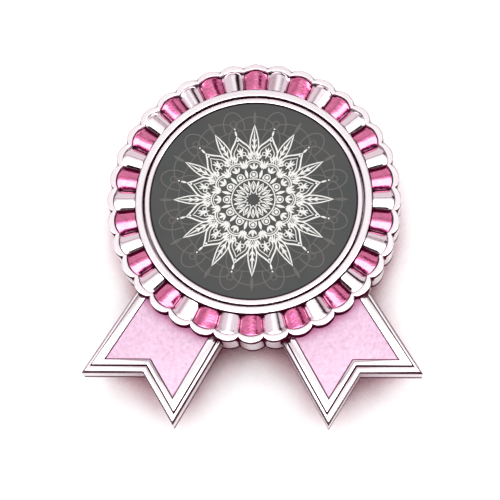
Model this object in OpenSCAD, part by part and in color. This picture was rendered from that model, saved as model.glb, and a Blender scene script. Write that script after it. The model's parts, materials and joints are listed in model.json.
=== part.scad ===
// Award rosette brooch, lying face up on its bar pin.
// A cast rosette with 36 radiating flutes and two swallow-tailed ribbon tails
// holds a printed disc in a setting ring. Every second flute and both tails are enamelled.

/* [Rosette] */
// Diameter of the printed disc
disc_d = 25; // [22:0.5:28]
// Width of the setting ring that holds the disc
setting_w = 0.61; // [0.5:0.01:0.9]
// Width of the open channel between the setting ring and the bezel
channel_w = 0.26; // [0.16:0.02:0.4]
// Width of the cast bezel
bezel_w = 0.86; // [0.7:0.01:1.1]
// Length of a flute, from the bezel to the crown of its arched end
flute_len = 2.63; // [2.2:0.01:3.2]
// Width of the rim outside the flutes, at the crown of a scallop
rim_w = 0.85; // [0.7:0.01:1.1]
// Depth of the notches in the edge, between two scallops
edge_notch = 0.56; // [0.4:0.01:0.6]
// How far the corners of a flute's arched end lie inside its crown
arch_notch = 0.4; // [0.3:0.01:0.5]
// Width of the slope between a flute's end and the top of the rim
rim_slope_w = 0.34; // [0.2:0.02:0.4]
// Width of the bevel along the rim's outer edge
rim_bevel = 0.12; // [0.05:0.01:0.2]
// Width of the open slit between two flutes
slit_w = 0.12; // [0.08:0.01:0.2]
// Radius of the bezel's rounded edges
bezel_edge_r = 0.25; // [0.15:0.01:0.3]
// Radius of the setting ring's rounded edges
setting_edge_r = 0.18; // [0.1:0.01:0.22]

/* [Heights] */
// Height of the pin, from the table to the back of the casting
pin_h = 4; // [3.8:0.1:5]
// Thickness of the rosette, from its back to the top of the rim
body_t = 4.3; // [3.8:0.1:4.8]
// Height of the bezel above the rim
bezel_rise = 0.1; // [0.05:0.05:0.4]
// How far a flute's crown lies below the top of the rim
crown_drop = 0.15; // [0.1:0.01:0.3]
// Depth of the valley between two flutes, at their outer ends
valley_depth = 0.7; // [0.5:0.05:0.9]
// Depth of the slit below the valley
slit_depth = 0.3; // [0.1:0.05:0.4]
// How far the setting ring lies below the top of the bezel
setting_drop = 0.1; // [0.05:0.01:0.3]
// How far the printed disc lies below the top of the bezel
disc_drop = 0.2; // [0.1:0.01:0.4]
// Depth of the recess for the setting ring and disc, below the bezel
recess_depth = 1.6; // [1.2:0.1:2]
// Thickness of the tails, from their back to the outer ledge
tail_t = 2.7; // [2:0.1:3]
// Height of a tail's raised border above its outer ledge
border_rise = 0.3; // [0.15:0.05:0.5]
// Thickness of the enamel on a flute
flute_enamel_t = 0.2; // [0.1:0.02:0.3]
// Thickness of the enamel in a tail
tail_enamel_t = 0.3; // [0.2:0.02:0.4]
// How far a tail's enamel lies below its border
tail_enamel_drop = 0.08; // [0.04:0.02:0.14]

/* [Ribbon tails] */
// Distance of a tail's outer tip from the middle line
outer_tip_x = 20; // [18:0.05:22]
// Distance of the outer tips and the notch below the rosette's centre
outer_tip_y = 20.9; // [20:0.05:23]
// Distance of the swallow-tail notch from the middle line
notch_x = 12.75; // [12:0.05:14]
// Distance of a tail's inner tip from the middle line
inner_tip_x = 9.05; // [8.5:0.05:10]
// Distance of the inner tips below the rosette's centre
inner_tip_y = 27.1; // [25:0.1:29]
// Lean of a tail's outer edge from the middle line
outer_lean = 31.6; // [30:0.1:33]
// Lean of a tail's inner edge from the middle line
inner_lean = 29; // [27:0.1:30]
// Width of the low ledge along a tail's sides
tail_ledge_w = 0.6; // [0.4:0.05:0.8]
// How much wider the ledge is along a tail's swallow-tail end
end_ledge_extra = 0.3; // [0:0.05:0.4]
// Width of the raised border between a side's ledge and the enamel
border_w = 0.88; // [0.6:0.02:1.1]

/* [Bar pin] */
// Length of the bar
bar_len = 27; // [24:0.5:28]
// Width of the bar
bar_w = 5; // [4.5:0.1:6]
// Thickness of the bar
bar_t = 0.7; // [0.5:0.1:0.9]
// Distance of the bar below the rosette's centre
bar_drop = 2.7; // [2:0.1:3.2]
// Diameter of the pin wire
wire_d = 0.9; // [0.7:0.05:1]
// Length of the wire's point
point_len = 1.6; // [1:0.1:2]
// Diameter of the knuckle that holds the wire
knuckle_d = 2.2; // [1.8:0.1:2.6]
// Width of the catch along the bar
catch_w = 3.6; // [3:0.1:4.5]
// Thickness of the catch's strip
catch_t = 0.6; // [0.4:0.05:0.7]

/* [Hidden] */
// Number of flutes; every second one carries an enamel of its own
flute_count = 36;
// Clearance between pieces that are set into each other
fit_gap = 0.02;
// Length by which a cut or a joined form runs past the surface it meets
over = 0.3;
// Height of the upright step between a flute's end and the slope of the rim
end_step = 0.03;
// Length of a tail's long edges, which end inside the rosette
tail_edge_len = 13.8;
// Distance of the knuckle and the catch from the long edges of the bar
bar_margin = 0.3;
// Distances of the knuckle's axis and of the catch from the ends of the bar
knuckle_inset = 2;
catch_inset = 1;
// Clearance below the wire in its catch, and the width of its blunt tip
wire_gap = 0.1;
tip_d = 0.2;

pitch = 360 / flute_count;
half_pitch = pitch / 2;
disc_r = disc_d / 2;
setting_r = disc_r + setting_w;
recess_r = setting_r + channel_w;
bezel_r = recess_r + bezel_w;
flute_r = bezel_r + flute_len;
rim_r = flute_r + rim_w;
edge_arc_r = arc_radius(rim_r, rim_r - edge_notch);
end_arc_r = arc_radius(flute_r, flute_r - arch_notch);
edge_reach = rim_r - edge_arc_r;
end_reach = flute_r - end_arc_r;

// Levels above the table
back_z = pin_h;
rim_z = back_z + body_t;
crown_z = rim_z - crown_drop;
bed_z = crown_z - valley_depth - slit_depth;
bezel_z = rim_z + bezel_rise;
recess_z = bezel_z - recess_depth;
tail_z = back_z + tail_t;
border_z = tail_z + border_rise;
tail_enamel_z = border_z - tail_enamel_drop;

// The origin is below the middle of the brooch, on the table
centre_y = (inner_tip_y - rim_r) / 2;

// Half the width of a flute at its crown, and the slope of the cone that shapes it
flute_half_w = flute_r * tan(half_pitch);
flute_tan = (norm([flute_r, flute_half_w, valley_depth]) - flute_r) / valley_depth;
flute_tilt = atan(flute_tan);

enamel_names = [for (k = [1 : flute_count / 2]) str("flute_enamel_", k)];
$fn = 64;

metal = [0.88, 0.84, 0.85];
hot_pink = [0.93, 0.45, 0.68];
pale_pink = [0.96, 0.8, 0.93];
print_grey = [0.36, 0.37, 0.36];

// Radius of a scallop's arc, from the radii of its crown and of the notches beside it
function arc_radius(crown, notch) =
    let (rise = crown - notch * cos(half_pitch), half_chord = notch * sin(half_pitch))
    (rise * rise + half_chord * half_chord) / (2 * rise);

// A ray from a point on a tail's edge, up towards the rosette
function along(start, lean, len) = start + len * [-sin(lean), cos(lean)];

// The right tail, anticlockwise from its root; each row is [x, y] from the rosette's centre
tail_outline = [
    along([inner_tip_x, -inner_tip_y], inner_lean, tail_edge_len),
    [inner_tip_x, -inner_tip_y],
    [notch_x, -outer_tip_y],
    [outer_tip_x, -outer_tip_y],
    along([outer_tip_x, -outer_tip_y], outer_lean, tail_edge_len)
];

// Distances from the outline's five edges, in the order of its points, to the border
end_ledge_w = tail_ledge_w + end_ledge_extra;
ledge_widths = [tail_ledge_w, end_ledge_w, end_ledge_w, tail_ledge_w, tail_ledge_w];

// The same distance from each of the five edges
function all_edges(distance) = [for (point = tail_outline) distance];

// The outline drawn in by one distance for each edge, with each corner kept sharp
function unit(v) = v / norm(v);
function drawn_in(points, distances) = [
    for (i = [0 : len(points) - 1])
        let (
            last = (i + len(points) - 1) % len(points),
            before = unit(points[i] - points[last]),
            after = unit(points[(i + 1) % len(points)] - points[i])
        )
        points[i] + (distances[last] * after - distances[i] * before) / cross(before, after)
];

// A ring of equal arcs whose centres lie on a circle, one for each flute
module scalloped(reach, arc_r) {
    circle(r = reach, $fn = 128);
    for (k = [0 : flute_count - 1])
        rotate(90 + k * pitch)
            translate([reach, 0])
                circle(r = arc_r);
}

// The same ring as a solid, whose arcs widen or narrow from one level to another
module scalloped_cones(reach, low_r, high_r, low, high) {
    translate([0, 0, low]) {
        cylinder(h = high - low, r = reach, $fn = 128);
        for (k = [0 : flute_count - 1])
            rotate(90 + k * pitch)
                translate([reach, 0])
                    cylinder(h = high - low, r1 = low_r, r2 = high_r);
    }
}

// The cone that shapes a flute along +X, with a level crown line
module flute_cone(inset) {
    apex_shift = inset / sin(flute_tilt);
    near = recess_r - over;
    far = rim_r + over;
    translate([0, 0, crown_z])
        rotate([0, 90 + flute_tilt, 0])
            translate([0, 0, near])
                cylinder(
                    h = far - near,
                    r1 = (near - apex_shift) * flute_tan,
                    r2 = (far - apex_shift) * flute_tan
                );
}

// One flute, along +X, between two slits and cut off by an arch
module flute_form(inset, end_r) {
    intersection() {
        flute_cone(inset);
        translate([end_reach, 0, bed_z - over])
            cylinder(h = body_t, r = end_r);
        translate([0, 0, bed_z - over])
            linear_extrude(body_t)
                flute_cell(recess_r, rim_r);
    }
}

// The wedge between two slits
module flute_cell(near, far) {
    side = slit_w / 2 / cos(half_pitch);
    near_half = near * tan(half_pitch) - side;
    far_half = far * tan(half_pitch) - side;
    polygon([[near, -near_half], [far, -far_half], [far, far_half], [near, near_half]]);
}

// A cast or pressed ring with rounded top edges
module rounded_ring(inner, outer, low, high, edge_r) {
    rotate_extrude($fn = 128)
        translate([inner, low]) {
            square([outer - inner, high - low - edge_r]);
            translate([edge_r, 0])
                square([outer - inner - 2 * edge_r, high - low]);
            for (x = [edge_r, outer - inner - edge_r])
                translate([x, high - low - edge_r])
                    circle(r = edge_r);
        }
}

module tail_plate() {
    difference() {
        union() {
            translate([0, 0, back_z])
                linear_extrude(tail_t)
                    polygon(tail_outline);
            translate([0, 0, back_z])
                linear_extrude(tail_t + border_rise)
                    polygon(drawn_in(tail_outline, ledge_widths));
        }
        translate([0, 0, tail_enamel_z - tail_enamel_t - fit_gap])
            linear_extrude(tail_enamel_t + tail_enamel_drop + over)
                polygon(drawn_in(tail_outline, all_edges(tail_ledge_w + border_w)));
    }
}

// The rosette's body, with a bevelled rim round a bed for the flutes
module rosette_body() {
    difference() {
        union() {
            translate([0, 0, back_z])
                linear_extrude(body_t - rim_bevel)
                    scalloped(edge_reach, edge_arc_r);
            scalloped_cones(edge_reach, edge_arc_r, edge_arc_r - rim_bevel, rim_z - rim_bevel, rim_z);
        }
        translate([0, 0, bed_z])
            linear_extrude(body_t)
                scalloped(end_reach, end_arc_r);
        scalloped_cones(end_reach, end_arc_r, end_arc_r + rim_slope_w, crown_z + end_step, rim_z);
        translate([0, 0, rim_z])
            linear_extrude(over)
                scalloped(end_reach, end_arc_r + rim_slope_w);
    }
}

module casting() {
    color(metal)
        translate([0, centre_y, 0])
            difference() {
                union() {
                    rosette_body();
                    for (k = [0 : flute_count - 1])
                        rotate(90 + k * pitch)
                            flute_form(k % 2 == 0 ? flute_enamel_t + fit_gap : 0, end_arc_r + over);
                    rounded_ring(recess_r - over, bezel_r, recess_z - over, bezel_z, bezel_edge_r);
                    tail_plate();
                    mirror([1, 0, 0])
                        tail_plate();
                }
                translate([0, 0, recess_z])
                    cylinder(h = recess_depth + over, r = recess_r, $fn = 128);
            }
}

module setting_ring() {
    color(metal)
        translate([0, centre_y, 0])
            rounded_ring(disc_r, setting_r, recess_z + fit_gap, bezel_z - setting_drop, setting_edge_r);
}

module printed_disc() {
    color(print_grey)
        translate([0, centre_y, recess_z + fit_gap])
            cylinder(
                h = recess_depth - disc_drop - fit_gap,
                r = disc_r - fit_gap,
                $fn = 128
            );
}

module tail_enamel() {
    color(pale_pink)
        translate([0, centre_y, tail_enamel_z - tail_enamel_t])
            linear_extrude(tail_enamel_t)
                difference() {
                    polygon(drawn_in(tail_outline, all_edges(tail_ledge_w + border_w + fit_gap)));
                    scalloped(edge_reach, edge_arc_r + fit_gap);
                }
}

module right_tail_enamel() {
    tail_enamel();
}

module left_tail_enamel() {
    mirror([1, 0, 0])
        tail_enamel();
}

// Enamel number k lies on the flute that is 2 k - 2 places anticlockwise from the top
module flute_enamel(k) {
    color(hot_pink)
        translate([0, centre_y, 0])
            rotate(90 + (2 * k - 2) * pitch)
                difference() {
                    flute_form(0, end_arc_r - fit_gap);
                    flute_cone(flute_enamel_t);
                    translate([0, 0, bed_z - 2 * over])
                        cylinder(h = 2 * over + fit_gap, r = rim_r, $fn = 128);
                    translate([0, 0, bed_z - over])
                        cylinder(h = body_t, r = bezel_r + fit_gap, $fn = 128);
                }
}

// Bar, hinge knuckle, wire and catch, made up as one
module bar_pin() {
    bar_z = back_z - fit_gap - bar_t;
    half_w = bar_w / 2 - bar_margin;
    knuckle_x = -bar_len / 2 + knuckle_inset;
    catch_x = bar_len / 2 - catch_inset - catch_w;
    wire_z = catch_t + wire_gap + wire_d / 2;
    point_x = bar_len / 2 - bar_margin - point_len;
    color(metal)
        translate([0, centre_y - bar_drop, 0]) {
            translate([-bar_len / 2, -bar_w / 2, bar_z])
                cube([bar_len, bar_w, bar_t]);
            // Knuckle, with the wire's end wound into it
            translate([knuckle_x, half_w, knuckle_d / 2])
                rotate([90, 0, 0])
                    cylinder(h = 2 * half_w, d = knuckle_d);
            translate([knuckle_x - knuckle_d / 2, -half_w, knuckle_d / 2])
                cube([knuckle_d, 2 * half_w, bar_z + bar_t / 2 - knuckle_d / 2]);
            // Wire and its point
            translate([knuckle_x, 0, wire_z])
                rotate([0, 90, 0])
                    cylinder(h = point_x - knuckle_x, d = wire_d);
            translate([point_x, 0, wire_z])
                rotate([0, 90, 0])
                    cylinder(h = point_len, d1 = wire_d, d2 = tip_d);
            // Catch, a strip bent under the wire with a lip in front of it
            translate([catch_x, half_w - catch_t, 0])
                cube([catch_w, catch_t, bar_z + bar_t / 2]);
            translate([catch_x, -half_w, 0])
                cube([catch_w, 2 * half_w, catch_t]);
            translate([catch_x, -half_w, 0])
                cube([catch_w, catch_t, wire_z + wire_d / 2]);
        }
}

casting();
setting_ring();
printed_disc();
left_tail_enamel();
right_tail_enamel();
bar_pin();
for (k = [1 : flute_count / 2])
    flute_enamel(k);
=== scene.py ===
# Award rosette brooch on a plain pale floor, under soft studio light.
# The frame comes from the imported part; everything is in metres, +Z up.
import json
import math

import bmesh
import bpy
from mathutils import Matrix, Vector

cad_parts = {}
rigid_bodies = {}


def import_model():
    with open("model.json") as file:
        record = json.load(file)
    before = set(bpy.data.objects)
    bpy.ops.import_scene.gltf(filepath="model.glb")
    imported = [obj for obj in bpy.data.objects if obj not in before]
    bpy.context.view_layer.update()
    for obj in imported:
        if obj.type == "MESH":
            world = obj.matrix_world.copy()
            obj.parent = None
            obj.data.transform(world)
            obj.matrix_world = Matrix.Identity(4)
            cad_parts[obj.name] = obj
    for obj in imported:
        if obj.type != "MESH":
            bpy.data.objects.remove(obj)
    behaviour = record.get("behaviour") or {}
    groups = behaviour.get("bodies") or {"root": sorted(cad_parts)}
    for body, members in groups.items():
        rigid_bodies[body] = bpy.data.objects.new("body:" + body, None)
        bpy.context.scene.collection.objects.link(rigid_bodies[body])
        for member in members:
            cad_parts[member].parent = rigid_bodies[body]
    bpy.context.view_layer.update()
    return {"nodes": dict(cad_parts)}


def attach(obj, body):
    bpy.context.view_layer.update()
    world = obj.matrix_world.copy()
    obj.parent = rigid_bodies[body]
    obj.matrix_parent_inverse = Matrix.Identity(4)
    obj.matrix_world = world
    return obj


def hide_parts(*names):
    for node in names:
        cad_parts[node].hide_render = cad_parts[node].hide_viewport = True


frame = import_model()
nodes = frame["nodes"]
mm = 0.001
print("frame loaded:", len(nodes), "nodes")


def hexColour(code):
    # sRGB hex code to the linear colour that the shaders want
    def toLinear(c):
        return c / 12.92 if c <= 0.04045 else ((c + 0.055) / 1.055) ** 2.4
    parts = [int(code[i:i + 2], 16) / 255 for i in (1, 3, 5)]
    return tuple(toLinear(c) for c in parts) + (1.0,)


def pickOnly(obj):
    bpy.ops.object.select_all(action="DESELECT")
    obj.select_set(True)
    bpy.context.view_layer.objects.active = obj


def editMesh(obj):
    # edit mode with nothing selected
    pickOnly(obj)
    bpy.ops.object.mode_set(mode="EDIT")
    bpy.ops.mesh.select_all(action="DESELECT")
    return bmesh.from_edit_mesh(obj.data)


def leaveEdit():
    bpy.ops.object.mode_set(mode="OBJECT")


def tidyMesh(obj, mergeAt=0.002 * mm):
    # doubles merged, then every face turned outwards
    editMesh(obj)
    bpy.ops.mesh.select_all(action="SELECT")
    bpy.ops.mesh.remove_doubles(threshold=mergeAt)
    bpy.ops.mesh.normals_make_consistent(inside=False)
    leaveEdit()


def applyModifier(obj, kind, **settings):
    pickOnly(obj)
    modifier = obj.modifiers.new(kind.title(), kind)
    for name, value in settings.items():
        setattr(modifier, name, value)
    bpy.ops.object.modifier_apply(modifier=modifier.name)


def smoothShade(obj, degrees=32):
    pickOnly(obj)
    bpy.ops.object.shade_smooth_by_angle(angle=math.radians(degrees))


def finishPiece(obj, name, material, replaced=()):
    # the piece's object sits at the origin, its place is in its mesh
    pickOnly(obj)
    bpy.ops.object.transform_apply(location=True, rotation=True, scale=True)
    obj.name = name
    obj.data.name = name
    obj.data.materials.clear()
    obj.data.materials.append(material)
    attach(obj, "root")
    if replaced:
        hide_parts(*replaced)
    return obj


def addNode(tree, kind, at, settings=None, inputs=None):
    # an input's key is its name or number; a socket given as its value is linked
    node = tree.nodes.new(kind)
    node.location = at
    for name, value in (settings or {}).items():
        setattr(node, name, value)
    for name, value in (inputs or {}).items():
        if isinstance(value, bpy.types.NodeSocket):
            tree.links.new(value, node.inputs[name])
        else:
            node.inputs[name].default_value = value
    return node


def newMaterial(name):
    material = bpy.data.materials.new(name)
    material.use_nodes = True
    material.node_tree.nodes.clear()
    return material, material.node_tree


# the cast rosette, in millimetres from its centre
rosette = {
    "centreY": 4.695,
    "fluteCount": 36,
    "discRadius": 12.5,
    "recessRadius": 13.37,
    "bezelRadius": 14.23,
    "fluteRadius": 16.86,
    "rimRadius": 17.70,
    "floorRadius": 11.5,  # here the rows of the recess end, and one face closes the rest
    "backRadius": 14.0,  # the same on the back
    "archNotch": 0.4,
    "edgeNotch": 0.56,
    "slitWidth": 0.08,
    "backZ": 4.0,
    "recessZ": 6.8,
    "bedZ": 7.15,  # floor of the slits between the flutes
    "crownZ": 8.15,
    "rimZ": 8.3,
    "bezelZ": 8.4,
    "bezelEdge": 0.13,  # rounded edges
    "rimEdge": 0.13,
    "backEdge": 0.1,
    "flatEdge": 0.03,  # flat strip beside a rounded edge, so that its shading stays its own
    "valleyDepth": 0.7,
    "valleyRise": 0.35,  # how much of a valley is filled at the arched end
    "riseFrom": 0.85,  # share of the flute's length where that begins
    "fluteShares": (0.05, 0.25, 0.5, 0.75, 0.85, 0.98),  # rows from the bezel to the arched end
    "trenchDepth": 0.32,  # trench at the bezel's foot
    "trenchShare": 0.042,
    "grooveShare": 0.994,  # groove round the arched end
    "grooveLead": 0.02,
    "grooveDepth": 0.12,
    "grooveWidth": 0.02,
    "grooveZ": 8.02,
    "rimLip": ((0.07, 8.25), (0.11, 8.29), (0.18, 8.3), (0.36, 8.3)),
    "wallRows": (7.5, 7.42, 6.4, 4.9, 4.35),
    "enamelBed": 0.22,  # how far an enamelled flute is sunk
    "arcColumns": 14,
}
halfPitch = math.pi / rosette["fluteCount"]


def arcRadius(crown, notch):
    rise = crown - notch * math.cos(halfPitch)
    halfChord = notch * math.sin(halfPitch)
    return (rise * rise + halfChord * halfChord) / (2 * rise)


endArc = arcRadius(rosette["fluteRadius"], rosette["fluteRadius"] - rosette["archNotch"])
endReach = rosette["fluteRadius"] - endArc
edgeArc = arcRadius(rosette["rimRadius"], rosette["rimRadius"] - rosette["edgeNotch"])
edgeShadeReach = rosette["rimRadius"] - edgeArc

# the flute is a cone with its tip on the rosette's axis and a level crown line
fluteHalfWidth = rosette["fluteRadius"] * math.tan(halfPitch)
fluteSide = Vector((rosette["fluteRadius"], fluteHalfWidth, rosette["valleyDepth"])).length
fluteTan = (fluteSide - rosette["fluteRadius"]) / rosette["valleyDepth"]
lastColumns = endReach + endArc - 0.35  # the columns at the arched end are spaced for this radius


def fluteDrop(slope):
    # how far the cone lies below its crown, for each unit of length, at a sideways slope
    root = math.sqrt(max(0.0, fluteTan ** 2 - (1 - fluteTan ** 2) * slope ** 2))
    return (fluteTan - root) / (1 - fluteTan ** 2)


def sideSlope(x):
    return math.tan(halfPitch) - rosette["slitWidth"] / 2 / math.cos(halfPitch) / x


def columnSlopes(x):
    # sideways slopes of the columns across a flute, from slit to slit
    steps = rosette["arcColumns"]
    reach = math.asin(min(0.999, sideSlope(x) / fluteTan))
    return [fluteTan * math.sin(reach * (2 * k / steps - 1)) for k in range(steps + 1)]


def archX(slope, reach, radius):
    # where a ray from the axis meets an arc whose centre lies at reach
    a = 1 + slope * slope
    return (reach + math.sqrt(reach * reach - a * (reach * reach - radius * radius))) / a


def fluteRow(share, lowered, sunk):
    # share 0 is at the bezel and 1 at the arched end; the two outer columns lie in the slits
    slopes = columnSlopes(rosette["bezelRadius"] * (1 - share) + lastColumns * share)
    rise = max(0.0, share - rosette["riseFrom"]) / (1 - rosette["riseFrom"])
    fullness = 1 - rosette["valleyRise"] * rise
    points = []
    for slope in slopes:
        inner = rosette["bezelRadius"] / math.sqrt(1 + slope * slope)
        x = inner + (archX(slope, endReach, endArc) - inner) * share
        drop = fluteDrop(slope) * x * fullness
        points.append((x, slope * x, rosette["crownZ"] - lowered - sunk - drop))
    edge = math.tan(halfPitch)
    inner = rosette["bezelRadius"] * math.cos(halfPitch)
    x = inner + (archX(edge, endReach, endArc) - inner) * share
    bed = rosette["bedZ"]
    before = [(x, -x * edge, bed), (points[0][0], points[0][1], bed)]
    after = [(points[-1][0], points[-1][1], bed), (x, x * edge, bed)]
    return before + points + after


def ringRow(radius, z):
    # a row on a circle round the axis, in step with the flute's columns
    slopes = columnSlopes(rosette["bezelRadius"])
    angles = [math.atan(s) for s in slopes]
    angles = [-halfPitch, angles[0]] + angles + [angles[-1], halfPitch]
    return [(radius * math.cos(a), radius * math.sin(a), z) for a in angles]


def arcRow(reach, radius, z):
    # a row on a scallop's arc; its ends lie on the border with the next sector
    slopes = columnSlopes(lastColumns)
    turns = []
    for slope in slopes:
        x = archX(slope, endReach, endArc)
        turns.append(math.atan2(slope * x, x - endReach))
    edge = math.tan(halfPitch)
    x = archX(edge, endReach, endArc)
    full = math.atan2(edge * x, x - endReach)
    turns = [-full, turns[0]] + turns + [turns[-1], full]
    border = halfPitch + math.asin(reach * math.sin(halfPitch) / radius)
    return [(reach + radius * math.cos(border * t / full), radius * math.sin(border * t / full), z)
            for t in turns]


def quarterRound(radius, steps):
    # (in, up) offsets of a rounded edge, from the wall's end to the flat's start
    angles = [math.pi / 2 * k / steps for k in range(steps + 1)]
    return [(radius * (1 - math.cos(a)), radius * math.sin(a)) for a in angles]


def sectorRows(sunk):
    r = rosette
    top, edge = r["bezelZ"], r["bezelEdge"]
    rows = [ringRow(r["floorRadius"], r["recessZ"]), ringRow(r["recessRadius"], r["recessZ"])]
    for inside, up in quarterRound(edge, 5):
        rows.append(ringRow(r["recessRadius"] + inside, top - edge + up))
    rows.append(ringRow(r["recessRadius"] + edge + r["flatEdge"], top))
    rows.append(ringRow(r["bezelRadius"] - edge - r["flatEdge"], top))
    for inside, up in reversed(quarterRound(edge, 5)):
        rows.append(ringRow(r["bezelRadius"] - inside, top - edge + up))
    # a narrow trench at the bezel's foot, then the flute
    rows.append(fluteRow(0.0, r["trenchDepth"], sunk))
    rows.append(fluteRow(r["trenchShare"], r["trenchDepth"], sunk))
    for share in r["fluteShares"]:
        rows.append(fluteRow(share, 0.0, sunk))
    # a narrow groove round the arched end, then the lip of the rim
    rows.append(fluteRow(r["grooveShare"], r["grooveLead"], sunk))
    rows.append(fluteRow(1.0, r["grooveDepth"], sunk))
    rows.append(arcRow(endReach, endArc + r["grooveWidth"], r["grooveZ"]))
    for outside, z in r["rimLip"]:
        rows.append(arcRow(endReach, endArc + outside, z))
    rows.append(arcRow(edgeShadeReach, edgeArc - r["rimEdge"] - r["flatEdge"], r["rimZ"]))
    for inside, up in reversed(quarterRound(r["rimEdge"], 6)):
        rows.append(arcRow(edgeShadeReach, edgeArc - inside, r["rimZ"] - r["rimEdge"] + up))
    for z in r["wallRows"]:
        rows.append(arcRow(edgeShadeReach, edgeArc, z))
    for inside, up in quarterRound(r["backEdge"], 2):
        rows.append(arcRow(edgeShadeReach, edgeArc - inside, r["backZ"] + r["backEdge"] - up))
    rows.append(ringRow(r["backRadius"], r["backZ"]))
    return rows


def growRows(name, rows):
    # a strip of faces: the first two rows are a grid, the others are extruded from its far edge
    across = len(rows[0]) - 1
    bpy.ops.object.select_all(action="DESELECT")
    bpy.ops.mesh.primitive_grid_add(x_subdivisions=across, y_subdivisions=1, size=10 * mm)
    strip = bpy.context.object
    strip.name = name
    mesh = editMesh(strip)
    ordered = sorted(mesh.verts, key=lambda v: (round(v.co.y, 6), v.co.x))
    chain = ordered[across + 1:]
    for vertex, point in zip(ordered[:across + 1], rows[0]):
        vertex.co = Vector(point) * mm
    for vertex, point in zip(chain, rows[1]):
        vertex.co = Vector(point) * mm
    for row in rows[2:]:
        bpy.ops.mesh.select_all(action="DESELECT")
        for a, b in zip(chain, chain[1:]):
            next(e for e in a.link_edges if e.other_vert(a) == b).select = True
        for vertex in chain:
            vertex.select = True
        bmesh.update_edit_mesh(strip.data)
        old = set(chain)
        bpy.ops.mesh.extrude_edges_move(TRANSFORM_OT_translate={"value": (0, 0, 0)})
        mesh = bmesh.from_edit_mesh(strip.data)
        fresh = {}
        for vertex in mesh.verts:
            if vertex.select:
                fresh[next(e.other_vert(vertex) for e in vertex.link_edges
                           if e.other_vert(vertex) in old)] = vertex
        chain = [fresh[v] for v in chain]
        for vertex, point in zip(chain, row):
            vertex.co = Vector(point) * mm
    bmesh.update_edit_mesh(strip.data)
    leaveEdit()
    return strip


def placeAround(sector, places):
    # copies of a sector along +X, turned to their places round the rosette's centre
    copies = []
    for place in places:
        copy = sector.copy()
        copy.data = sector.data.copy()
        copy.rotation_euler.z = math.pi / 2 + place * 2 * halfPitch
        copy.location.y = rosette["centreY"] * mm
        bpy.context.scene.collection.objects.link(copy)
        copies.append(copy)
    return copies


def joinAll(objects):
    pickOnly(objects[0])
    for obj in objects:
        obj.select_set(True)
    bpy.ops.object.join()
    joined = bpy.context.object
    bpy.ops.object.transform_apply(location=True, rotation=True, scale=True)
    return joined


def closeHole(obj, z, radius):
    # caps the open ring of edges at this height, up to this radius
    mesh = editMesh(obj)
    centre = Vector((0, rosette["centreY"] * mm, z * mm))
    for edge in mesh.edges:
        middle = (edge.verts[0].co + edge.verts[1].co) / 2
        level = abs(middle.z - centre.z) < 0.01 * mm
        if edge.is_boundary and level and (middle - centre).length < radius * mm:
            edge.select = True
            edge.verts[0].select = edge.verts[1].select = True
    bmesh.update_edit_mesh(obj.data)
    bpy.ops.mesh.edge_face_add()
    leaveEdit()


plainSector = growRows("plainSector", sectorRows(0.0))
sunkSector = growRows("sunkSector", sectorRows(rosette["enamelBed"]))
plainPlaces = range(1, rosette["fluteCount"], 2)
enamelPlaces = range(0, rosette["fluteCount"], 2)
body = joinAll(placeAround(plainSector, plainPlaces) + placeAround(sunkSector, enamelPlaces))
bpy.data.objects.remove(plainSector)
bpy.data.objects.remove(sunkSector)
tidyMesh(body)
closeHole(body, rosette["recessZ"], rosette["floorRadius"] + 0.1)
closeHole(body, rosette["backZ"], rosette["backRadius"] + 0.1)
tidyMesh(body)
smoothShade(body)


def paintShade(obj, shadeAt):
    # one value a vertex for painted shade: dark lines and bands in joints, along feet and edges,
    # standing in for shadows and dark reflections
    layer = obj.data.attributes.new("shade", "FLOAT", "POINT")
    for vertex, value in zip(obj.data.vertices, layer.data):
        value.value = shadeAt(*(vertex.co / mm))


# where shade is painted on the rosette, in millimetres, and how dark it is, from 0 to 1: painted
# shadows in joints and at the wall's foot, painted dark reflections along valleys, grooves and
# edges
rosettePaintedShade = {
    "valleyLine": 0.1,  # half the width of the line along a valley
    "valleyBand": 0.28,  # half the width of the softer band round it
    "valleyLeast": 0.25,
    "bandLevel": 0.5,
    "facingFrom": 0.4,  # a flank turned this far down the brooch starts to get a painted dark reflection,
    "facingFull": 0.8,  # and one turned this far is fully dark
    "footWidth": 0.12,  # along the bezel's foot
    "endsFrom": 15.8,  # radius past which a flute's arched end lies
    "rimFrom": 17.0,
    "grooveLeast": 0.1,
    "grooveUpwards": 0.55,  # painted shade that the end grooves gain towards the brooch's top
    "tickWidth": 0.07,  # tick at the rim's notches
    "notchWidth": 0.15,  # line down the wall below a notch
    "notchGain": 0.1,  # by how much that line is wider at its top
    "notchGainFrom": 7.0,
    "footTop": 4.5,
    "underRimFrom": 7.45,
    "overTailFrom": 6.0,
    "tailReach": (11.5, 52.1),  # degrees from -Y, where a tail meets the wall
    "wallLevel": 0.12,
}


def valleyShade(x, y):
    # painted shade in the valleys: a painted dark reflection that is thicker on the flanks that
    # face down the brooch
    p = rosettePaintedShade
    turn = math.atan2(y, x)
    offCentre = math.remainder(turn - halfPitch, 2 * halfPitch)
    distance = abs(offCentre) * math.hypot(x, y)
    facing = math.cos(turn - offCentre) * (1 if offCentre > 0 else -1)
    strength = (facing - p["facingFrom"]) / (p["facingFull"] - p["facingFrom"])
    strength = min(1.0, max(0.0, strength))
    if distance < p["valleyLine"]:
        return p["valleyLeast"] + (1 - p["valleyLeast"]) * strength
    return p["bandLevel"] * strength if distance < p["valleyBand"] else 0.0


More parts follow.
